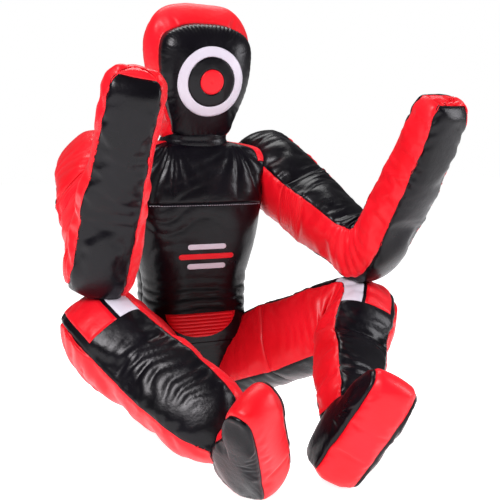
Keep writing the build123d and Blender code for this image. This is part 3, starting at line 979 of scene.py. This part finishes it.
# %% [markdown]
# The yoke hangs from the neck's two corners, so long folds run down and outwards from them.
# At the waist and groin the trunk sits down on itself, and the folds run across.

# %% Folds of the trunk
NECK_CORNERS = ((0.072, -0.060, 0.650), (-0.072, -0.060, 0.650))
ZIP_HALF = 0.019
ZIP_FACE = 0.0965
ZIP_LOW = 0.226
ZIP_HIGH = 0.494


def fold_trunk():
    mesh = trunk_cover.data
    points = coordinates(mesh)
    along = attribute(mesh, "along")
    seam = attribute(mesh, "seam")
    front = np.clip(-points[:, 1] / 0.03, 0, 1)
    total = -0.0018 * bump(seam, 0.004)
    total += gathers(points, points[:, 0], seam, 0.019, 0.012, 0.0014, 31) * (points[:, 2] > 0.05)
    total += crosswise(points, points[:, 2], seam, 0.040, 0.0024, 33, 7)
    for number, (x, y, z) in enumerate(NECK_CORNERS):
        way = 1 if x > 0 else -1
        dx = (points[:, 0] - x) * way
        dz = z - points[:, 2]
        reach = np.hypot(dx, dz)
        angle = np.arctan2(dx, dz)
        fan = bump(angle - 0.35, 0.75) * np.exp(-((reach - 0.05) / 0.085) ** 2) * front
        wave = ridges(angle * 2.6 + 0.5 * soft_noise(points, 9, 41 + number), 0.7) - 0.6
        total += 0.0075 * fan * wave
    waist = bump(points[:, 2] - 0.285, 0.05) + 0.8 * bump(points[:, 2] - 0.175, 0.03)
    total += 0.0030 * waist * (ridges(points[:, 2] / 0.024 + 0.9 * soft_noise(points, 7, 45), 0.6) - 0.6)
    flat = np.clip(points[:, 2] / 0.03, 0, 1)
    push(trunk_cover, total * flat)
    points = coordinates(mesh)
    in_slot = (np.abs(points[:, 0]) < ZIP_HALF) & (points[:, 1] > 0)
    in_slot &= (points[:, 2] > ZIP_LOW) & (points[:, 2] < ZIP_HIGH)
    points[in_slot, 1] = np.minimum(points[in_slot, 1], ZIP_FACE)
    points[:, 2] = np.maximum(points[:, 2], ABOVE_FLOOR)
    mesh.vertices.foreach_set("co", points.ravel())
    mesh.update()


fold_trunk()
print("trunk folded after", round(time.time() - started), "s")

# %% Folds of the head, neck and feet
BROW_PITCH = 0.0092
BROW_HEIGHT = 0.0046
HEAD_ROUND = 0.78  # the head's seam, once round
FOOT_ROUND = 0.56


def fold_head():
    mesh = head_cover.data
    points = coordinates(mesh)
    seam = np.abs(attribute(mesh, "seam"))
    turn = attribute(mesh, "turn")
    panel = panels_of_points(mesh)
    across = points @ np.array(HEAD_UP) - float(HEAD_BASE.dot(HEAD_UP))
    round_it = turn / HEAD_POINTS * HEAD_ROUND
    total = -0.0022 * bump(seam, 0.004)
    face = panel == FACE
    top = np.clip((across - 0.17) / 0.05, 0, 1) * face
    near_seam = np.exp(-seam / 0.020) * (1 - np.exp(-seam / 0.002))
    total += top * BROW_HEIGHT * (ridges(round_it / BROW_PITCH, 0.8) - 0.55) * near_seam
    total += gathers(points, round_it, seam, 0.016, 0.012, 0.0022, 51) * np.where(top > 0.1, 0.2, 1.0)
    total += 0.0035 * np.where(panel == FACE, 0.35, 1.0) * soft_noise(points, 16, 53)
    push(head_cover, total)


def fold_neck():
    mesh = neck_cover.data
    points = coordinates(mesh)
    wave = ridges(points[:, 2] / 0.019 + 0.9 * soft_noise(points, 11, 61), 0.6) - 0.6
    push(neck_cover, 0.0045 * wave * bump(points[:, 2] - 0.685, 0.04))


def fold_foot(side, seed):
    mesh = feet[side].data
    points = coordinates(mesh)
    seam = np.abs(attribute(mesh, "seam"))
    round_it = attribute(mesh, "turn") / FOOT_POINTS * FOOT_ROUND
    total = -0.0020 * bump(seam, 0.004)
    total += gathers(points, round_it, seam, 0.018, 0.012, 0.0014, seed)
    total += 0.0014 * soft_noise(points, 22, seed + 1)
    push(feet[side], total)
    points = coordinates(mesh)
    points[:, 2] -= points[:, 2].min() - ABOVE_FLOOR
    mesh.vertices.foreach_set("co", points.ravel())
    mesh.update()


fold_head()
fold_neck()
fold_foot("left", 71)
fold_foot("right", 75)
print("all folded after", round(time.time() - started), "s")

# %% [markdown]
# Now each cover is taken apart into its sewn panels, so that every panel is a piece with its own finish.
# A panel becomes a thin closed shell, with its thickness on the inside.

# %% Cutting the panels
LEATHER_THICKNESS = 0.0016


def shell(name, bm, slot, thickness):
    """A piece from an open sheet, given its thickness on the inside."""
    mesh = bpy.data.meshes.new(name)
    bm.to_mesh(mesh)
    bm.free()
    mesh.materials.append(MATERIALS[slot])
    piece = bpy.data.objects.new(name, mesh)
    bpy.context.scene.collection.objects.link(piece)
    wall = piece.modifiers.new("wall", "SOLIDIFY")
    wall.thickness = thickness
    wall.offset = -1
    wall.use_even_offset = False
    graph = bpy.context.evaluated_depsgraph_get()
    piece.data = bpy.data.meshes.new_from_object(piece.evaluated_get(graph))
    piece.modifiers.clear()
    return piece


def cut_panel(cover, name, numbers, slot, keep=None, lift=0.0):
    """A piece from some of a cover's panels. keep(face, bm) narrows it; lift raises a patch."""
    bm = bmesh.new()
    bm.from_mesh(cover.data)
    unwanted = [f for f in bm.faces if f.material_index not in numbers or (keep and not keep(f, bm))]
    bmesh.ops.delete(bm, geom=unwanted, context="FACES")
    bm.normal_update()
    if lift:
        for vert in bm.verts:
            vert.co += vert.normal * lift
    for face in bm.faces:
        face.material_index = 0
        face.smooth = True
    return shell(name, bm, slot, LEATHER_THICKNESS if not lift else lift * 0.9)


pieces = {}


def add(cover, name, numbers, slot, replaced=(), keep=None, lift=0.0):
    piece = cut_panel(cover, name, numbers, slot, keep, lift)
    if replaced:
        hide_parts(*replaced)
    pieces[name] = piece
    return piece


print("leather is", LEATHER_THICKNESS * 1000, "mm thick")

# %% [markdown]
# The arm's first half follows the trunk and then the upper arm, and its second half bends with the elbow.
# They meet at the cross seam above the elbow. The red band and the black faces are separate panels.

# %% Arms
def bend_piece(piece, first, second, centre, before, after):
    """The piece bends about a joint between two points on its bones."""
    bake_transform(piece, first, second, centre - before, centre + after)


def bisector(limb):
    first = (limb["knee"] - limb["root"]).normalized()
    second = (limb["tip"] - limb["knee"]).normalized()
    return (first + second).normalized(), first, second


def sew_arm(side):
    limb = limbs[side + "_arm"]
    cover = limb["cover"]
    along_bend, first, second = bisector(limb)
    upper, lower = side + "_upper_arm", side + "_forearm"
    shoulder = [
        add(cover, side + "_shoulder_red_sides", {1, 3}, "red_vinyl", [upper + "_red_panels"]),
        add(
            cover, side + "_shoulder_black_faces", {0, 2}, "black_vinyl",
            [upper + "_black_panels", upper + "_filling"],
        ),
    ]
    for piece in shoulder:
        bend_piece(piece, "trunk", upper, limb["root"], first * 0.03, first * 0.07)
    arm = [
        add(cover, side + "_arm_red_band", {5, 7, 8}, "red_vinyl", [lower + "_red_band"]),
        add(
            cover, side + "_arm_outer_face", {4}, "black_vinyl",
            [lower + "_outer_panel", lower + "_filling"],
        ),
        add(cover, side + "_arm_inner_face", {6}, "black_vinyl", [lower + "_inner_panel"]),
    ]
    for piece in arm:
        bend_piece(piece, upper, lower, limb["knee"], along_bend * 0.055, along_bend * 0.055)


for side in ("left", "right"):
    sew_arm(side)
print("arm pieces:", len(pieces))

# %% [markdown]
# Each knee carries a two-part patch, one red and one white, sewn on the front panel.
# It is cut from the panel's own surface and raised by less than a millimetre, so it follows every fold.

# %% Legs
PATCH_LIFT = 0.0009
PATCH_LENGTH = (-0.026, 0.056)
WHITE_STEPS = (1.0, 5.3)
RED_STEPS = (6.0, 10.6)


def patch(limb, low_step, high_step):
    low, high = limb["bend"] + PATCH_LENGTH[0], limb["bend"] + PATCH_LENGTH[1]

    def keep(face, bm):
        turn = bm.verts.layers.float["turn"]
        along = bm.verts.layers.float["along"]
        turns = sum(v[turn] for v in face.verts) / len(face.verts)
        place = sum(v[along] for v in face.verts) / len(face.verts)
        return low_step < turns < high_step and low < place < high

    return keep


def sew_leg(side):
    limb = limbs[side + "_leg"]
    cover = limb["cover"]
    along_bend, first, second = bisector(limb)
    upper, lower = side + "_thigh", side + "_shin"
    hip = [
        add(cover, side + "_hip_medial_gusset", {3}, "red_vinyl", [upper + "_medial_gusset"]),
        add(cover, side + "_hip_lateral_gusset", {1}, "red_vinyl", [upper + "_lateral_gusset"]),
        add(
            cover, side + "_hip_black_faces", {0, 2}, "black_vinyl",
            [upper + "_black_panels", upper + "_filling"],
        ),
    ]
    for piece in hip:
        bend_piece(piece, "trunk", upper, limb["root"], first * 0.02, first * 0.09)
    knee = [
        add(cover, side + "_knee_red_gussets", {5, 7}, "red_vinyl", [lower + "_gussets"]),
        add(
            cover, side + "_knee_front_panel", {4}, "black_vinyl",
            [lower + "_front_panel", lower + "_filling"],
        ),
        add(cover, side + "_knee_back_panel", {6, 8}, "black_vinyl", [lower + "_back_panel"]),
        add(
            cover, side + "_knee_white_patch", {4}, "white_print",
            keep=patch(limb, *WHITE_STEPS), lift=PATCH_LIFT,
        ),
        add(
            cover, side + "_knee_red_patch", {4}, "red_vinyl",
            keep=patch(limb, *RED_STEPS), lift=PATCH_LIFT,
        ),
    ]
    for piece in knee:
        bend_piece(piece, upper, lower, limb["knee"], along_bend * 0.06, along_bend * 0.06)


def sew_foot(side):
    cover = feet[side]
    name = side + "_foot"
    add(cover, name + "_red_band", {SOLE}, "red_vinyl", [name + "_sole_band", name + "_filling"])
    add(cover, name + "_near_cheek", {NEAR_CHEEK}, "black_vinyl", [name + "_side_panels"])
    add(cover, name + "_far_cheek", {FAR_CHEEK}, "black_vinyl")
    for part in ("_red_band", "_near_cheek", "_far_cheek"):
        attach(pieces[name + part], name)


for side in ("left", "right"):
    sew_leg(side)
    sew_foot(side)
print("with the legs:", len(pieces))

# %% Trunk, neck and head
for name, number, slot, replaced in (
    ("chest", CHEST, "black_vinyl", ["chest_panel", "trunk_filling"]),
    ("yoke", YOKE, "black_vinyl", ["yoke_panel", "joint_fillings"]),
    ("groin", GROIN, "black_vinyl", ["groin_panel"]),
    ("seat", SEAT, "black_vinyl", ["seat_panel"]),
    ("left_back", LEFT_BACK, "black_vinyl", ["left_back_panel"]),
    ("right_back", RIGHT_BACK, "black_vinyl", ["right_back_panel"]),
    ("shoulder_red_strips", STRIPS, "red_vinyl", ["shoulder_strips"]),
):
    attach(add(trunk_cover, name, {number}, slot, replaced), "trunk")
for name, number, slot, replaced in (
    ("face", FACE, "black_vinyl", ["face_panel", "head_filling"]),
    ("head_red_band", BAND, "red_vinyl", ["head_gusset_band"]),
    ("head_back", BACK, "black_vinyl", ["head_back_panel"]),
):
    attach(add(head_cover, name, {number}, slot, replaced), "head")
neck = add(neck_cover, "neck", {0}, "black_vinyl", ["neck_sleeve", "neck_filling"])
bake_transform(neck, "trunk", "neck", (0, -0.002, 0.636), (0, -0.008, 0.690))
print("with the trunk and head:", len(pieces))

# %% [markdown]
# The face carries a round target: a red disc, a black ring and a white ring, each a thin layer on the last.
# Each is a set of circles dropped onto the face from the front, so it lies on the curve of the panel.

# %% Target
TARGET_HEIGHT = 0.084
TARGET_STEPS = 96


def surface_tree(piece):
    bm = bmesh.new()
    bm.from_mesh(piece.data)
    tree = BVHTree.FromBMesh(bm)
    bm.free()
    return tree


face_surface = surface_tree(pieces["face"])
target_centre = HEAD_BASE + HEAD_UP * TARGET_HEIGHT


def target_piece(name, slot, inner, outer, lift, steps, replaced):
    bm = bmesh.new()
    order = bm.verts.layers.int.new("order")
    verts = bmesh.ops.create_circle(bm, segments=TARGET_STEPS, radius=1.0)["verts"]
    for k, vert in enumerate(verts):
        vert[order] = k
    radii = [inner + (outer - inner) * k / steps for k in range(steps + 1)]
    for number, radius in enumerate(radii):
        if number:
            made = bmesh.ops.extrude_edge_only(bm, edges=ring_edges(verts))["geom"]
            verts = [g for g in made if isinstance(g, bmesh.types.BMVert)]
        for vert in verts:
            angle = 2 * math.pi * vert[order] / TARGET_STEPS
            sideways = Vector((radius * math.cos(angle), 0, 0))
            spot = target_centre + sideways + HEAD_UP * radius * math.sin(angle)
            hit, _, _, _ = face_surface.ray_cast(spot + HEAD_FORWARD * 0.3, -HEAD_FORWARD)
            edge = 0.4 if number in (0, len(radii) - 1) else 1.0
            vert.co = hit + HEAD_FORWARD * lift * edge
    middle = [e for e in bm.edges if e.is_boundary and (e.verts[0].co - e.verts[1].co).length < 0.0002]
    bmesh.ops.holes_fill(bm, edges=middle, sides=0)
    bmesh.ops.recalc_face_normals(bm, faces=bm.faces)
    if sum(f.normal.dot(HEAD_FORWARD) for f in bm.faces) < 0:
        bmesh.ops.reverse_faces(bm, faces=bm.faces)
    for face in bm.faces:
        face.smooth = True
    piece = shell(name, bm, slot, lift * 0.9)
    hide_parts(*replaced)
    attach(piece, "head")
    pieces[name] = piece


target_piece("target_white_ring", "white_print", 0.054, 0.076, 0.0012, 8, ["target_white_ring"])
target_piece("target_black_ring", "black_vinyl", 0.027, 0.054, 0.0016, 10, ["target_black_ring"])
target_piece("target_red_disc", "red_vinyl", 0.001, 0.027, 0.0022, 10, ["target_red_disc"])
print("target on the face")

# %% [markdown]
# The belly carries a red half-moon with seven stitched channels. It starts as a flat grid,
# its rows are drawn in to the half-moon's outline, and each point is dropped onto the trunk's front.

# %% Ribbed belly panel
RIB_TOP = 0.259
RIB_MIDDLE = -0.009
RIB_DROP = 0.056
RIB_HALF = 0.083
RIB_CHANNELS = 7
rib_surface = BVHTree.FromObject(trunk_cover, bpy.context.evaluated_depsgraph_get())


def belly_panel():
    bm = bmesh.new()
    bmesh.ops.create_grid(bm, x_segments=64, y_segments=84, size=1.0)
    for vert in bm.verts:
        down = (1 - vert.co.y) / 2
        z = RIB_TOP - RIB_DROP * down
        half = RIB_HALF * math.sqrt(max(0.0, 1 - (down * 0.995) ** 2))
        x = RIB_MIDDLE + vert.co.x * half
        hit, _, _, _ = rib_surface.ray_cast(Vector((x, -0.4, z)), Vector((0, 1, 0)))
        edge = min(1 - abs(vert.co.x), down * 2, (1 - down) * 2)
        swell = 0.0012 + 0.0034 * abs(math.sin(math.pi * RIB_CHANNELS * down)) ** 0.6
        vert.co = hit + Vector((0, -swell * min(1.0, 0.15 + edge * 10), 0))
    bm.normal_update()
    if sum(f.normal.y for f in bm.faces) > 0:
        bmesh.ops.reverse_faces(bm, faces=bm.faces)
    for face in bm.faces:
        face.smooth = True
    piece = shell("ribbed_belly", bm, "red_vinyl", 0.0008)
    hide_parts("ribbed_belly_panel")
    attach(piece, "trunk")
    pieces["ribbed_belly"] = piece


belly_panel()
print("belly panel:", RIB_CHANNELS, "channels")

# %% [markdown]
# Three plain bars are printed on the chest. Each is a grid with round ends, dropped onto the panel.
# A row of pale stitches marks the yoke's seam: each stitch is a small ball stretched along the row.

# %% Chest bars and yoke stitches
CHEST_BARS = {
    "chest_top_bar": ("white_print", 0.046, 0.410),
    "chest_middle_bar": ("red_vinyl", 0.066, 0.388),
    "chest_low_bar": ("white_print", 0.046, 0.366),
}
BAR_HALF_HEIGHT = 0.006
PRINT_LIFT = 0.0007
STITCH_PITCH = 0.0058
STITCH_REACH = 0.15
STITCH_SIZE = (0.0021, 0.0006, 0.0006, 1)  # half sizes


def chest_bar(name, slot, half_width, height):
    bm = bmesh.new()
    bmesh.ops.create_grid(bm, x_segments=40, y_segments=8, size=1.0)
    for vert in bm.verts:
        end = half_width - BAR_HALF_HEIGHT * (1 - math.sqrt(max(0.0, 1 - vert.co.y**2)))
        spot = Vector((vert.co.x * end, -0.4, height + vert.co.y * BAR_HALF_HEIGHT))
        hit, _, _, _ = rib_surface.ray_cast(spot, Vector((0, 1, 0)))
        vert.co = hit + Vector((0, -PRINT_LIFT, 0))
    bm.normal_update()
    if sum(f.normal.y for f in bm.faces) > 0:
        bmesh.ops.reverse_faces(bm, faces=bm.faces)
    for face in bm.faces:
        face.smooth = True
    pieces[name] = shell(name, bm, slot, PRINT_LIFT * 0.8)
    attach(pieces[name], "trunk")


def yoke_stitches():
    bm = bmesh.new()
    previous = None
    for k in range(int(2 * STITCH_REACH / STITCH_PITCH)):
        x = -STITCH_REACH + k * STITCH_PITCH
        hit, normal, _, _ = rib_surface.ray_cast(Vector((x, -0.4, YOKE_SEAM - 0.005)), Vector((0, 1, 0)))
        if hit is None or hit.y > -0.02:
            continue
        if previous is not None:
            along_row = (hit - previous).normalized()
            turn = along_row.to_track_quat("X", "Z").to_matrix().to_4x4()
            size = Matrix.Diagonal(STITCH_SIZE)
            middle = (hit + previous) / 2 + normal * 0.0003
            place = Matrix.Translation(middle) @ turn @ size
            bmesh.ops.create_icosphere(bm, subdivisions=1, radius=1.0, matrix=place)
        previous = hit
    for face in bm.faces:
        face.smooth = True
    mesh = bpy.data.meshes.new("yoke_stitches")
    bm.to_mesh(mesh)
    bm.free()
    mesh.materials.append(MATERIALS["white_print"])
    row = bpy.data.objects.new("yoke_stitches", mesh)
    bpy.context.scene.collection.objects.link(row)
    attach(row, "trunk")
    pieces["yoke_stitches"] = row


for name, (slot, half_width, height) in CHEST_BARS.items():
    chest_bar(name, slot, half_width, height)
yoke_stitches()
print("bars and stitches:", len(pieces), "pieces")

# %% [markdown]
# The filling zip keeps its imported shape. Its tapes look woven, its coils are plastic, and its slider and pull
# are a worn, plated metal.

# %% Zip materials
def zip_material(name, dark, light, rough, metal, fine_scale, bump_depth):
    material = bpy.data.materials.new(name)
    material.use_nodes = True
    tree = material.node_tree
    shader = tree.nodes["Principled BSDF"]
    place = node(tree, "ShaderNodeTexCoord").outputs["Object"]
    wear = noise_node(tree, place, 60.0, 4.0)
    shade = ramp_node(tree, wear.outputs["Fac"], dark, light)
    tree.links.new(shade.outputs["Color"], shader.inputs["Base Color"])
    roughness = span_node(tree, wear.outputs["Fac"], rough - 0.08, rough + 0.10)
    tree.links.new(roughness.outputs["Result"], shader.inputs["Roughness"])
    shader.inputs["Metallic"].default_value = metal
    fine = noise_node(tree, place, fine_scale, 2.0)
    relief = node(tree, "ShaderNodeBump")
    relief.inputs["Strength"].default_value = 0.4
    relief.inputs["Distance"].default_value = bump_depth
    tree.links.new(fine.outputs["Fac"], relief.inputs["Height"])
    tree.links.new(relief.outputs["Normal"], shader.inputs["Normal"])
    return material


plated = zip_material(
    "zip_metal_plated", dark=(0.30, 0.29, 0.28), light=(0.55, 0.54, 0.52),
    rough=0.30, metal=1.0, fine_scale=300.0, bump_depth=0.0002,
)
woven = zip_material(
    "zip_tape_woven", dark=(0.008, 0.008, 0.009), light=(0.02, 0.02, 0.022),
    rough=0.8, metal=0.0, fine_scale=1400.0, bump_depth=0.0004,
)
plastic = zip_material(
    "zip_coil_plastic", dark=(0.01, 0.01, 0.011), light=(0.03, 0.03, 0.033),
    rough=0.42, metal=0.0, fine_scale=900.0, bump_depth=0.0003,
)
ZIP_LOOKS = {"zip_tapes": woven, "zip_coils": plastic, "zip_slider": plated, "zip_pull": plated}
for node_name, look in ZIP_LOOKS.items():
    for material_slot in bpy.data.objects[node_name].material_slots:
        material_slot.material = look
print("zip looks:", sorted(ZIP_LOOKS))

# %% [markdown]
# The covers were only patterns for the pieces, so they are removed.

# %% Finish
for cover in all_covers + [neck_cover]:
    bpy.data.objects.remove(cover)
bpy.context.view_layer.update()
print("pieces:", len(pieces), "in", round(time.time() - started), "s")
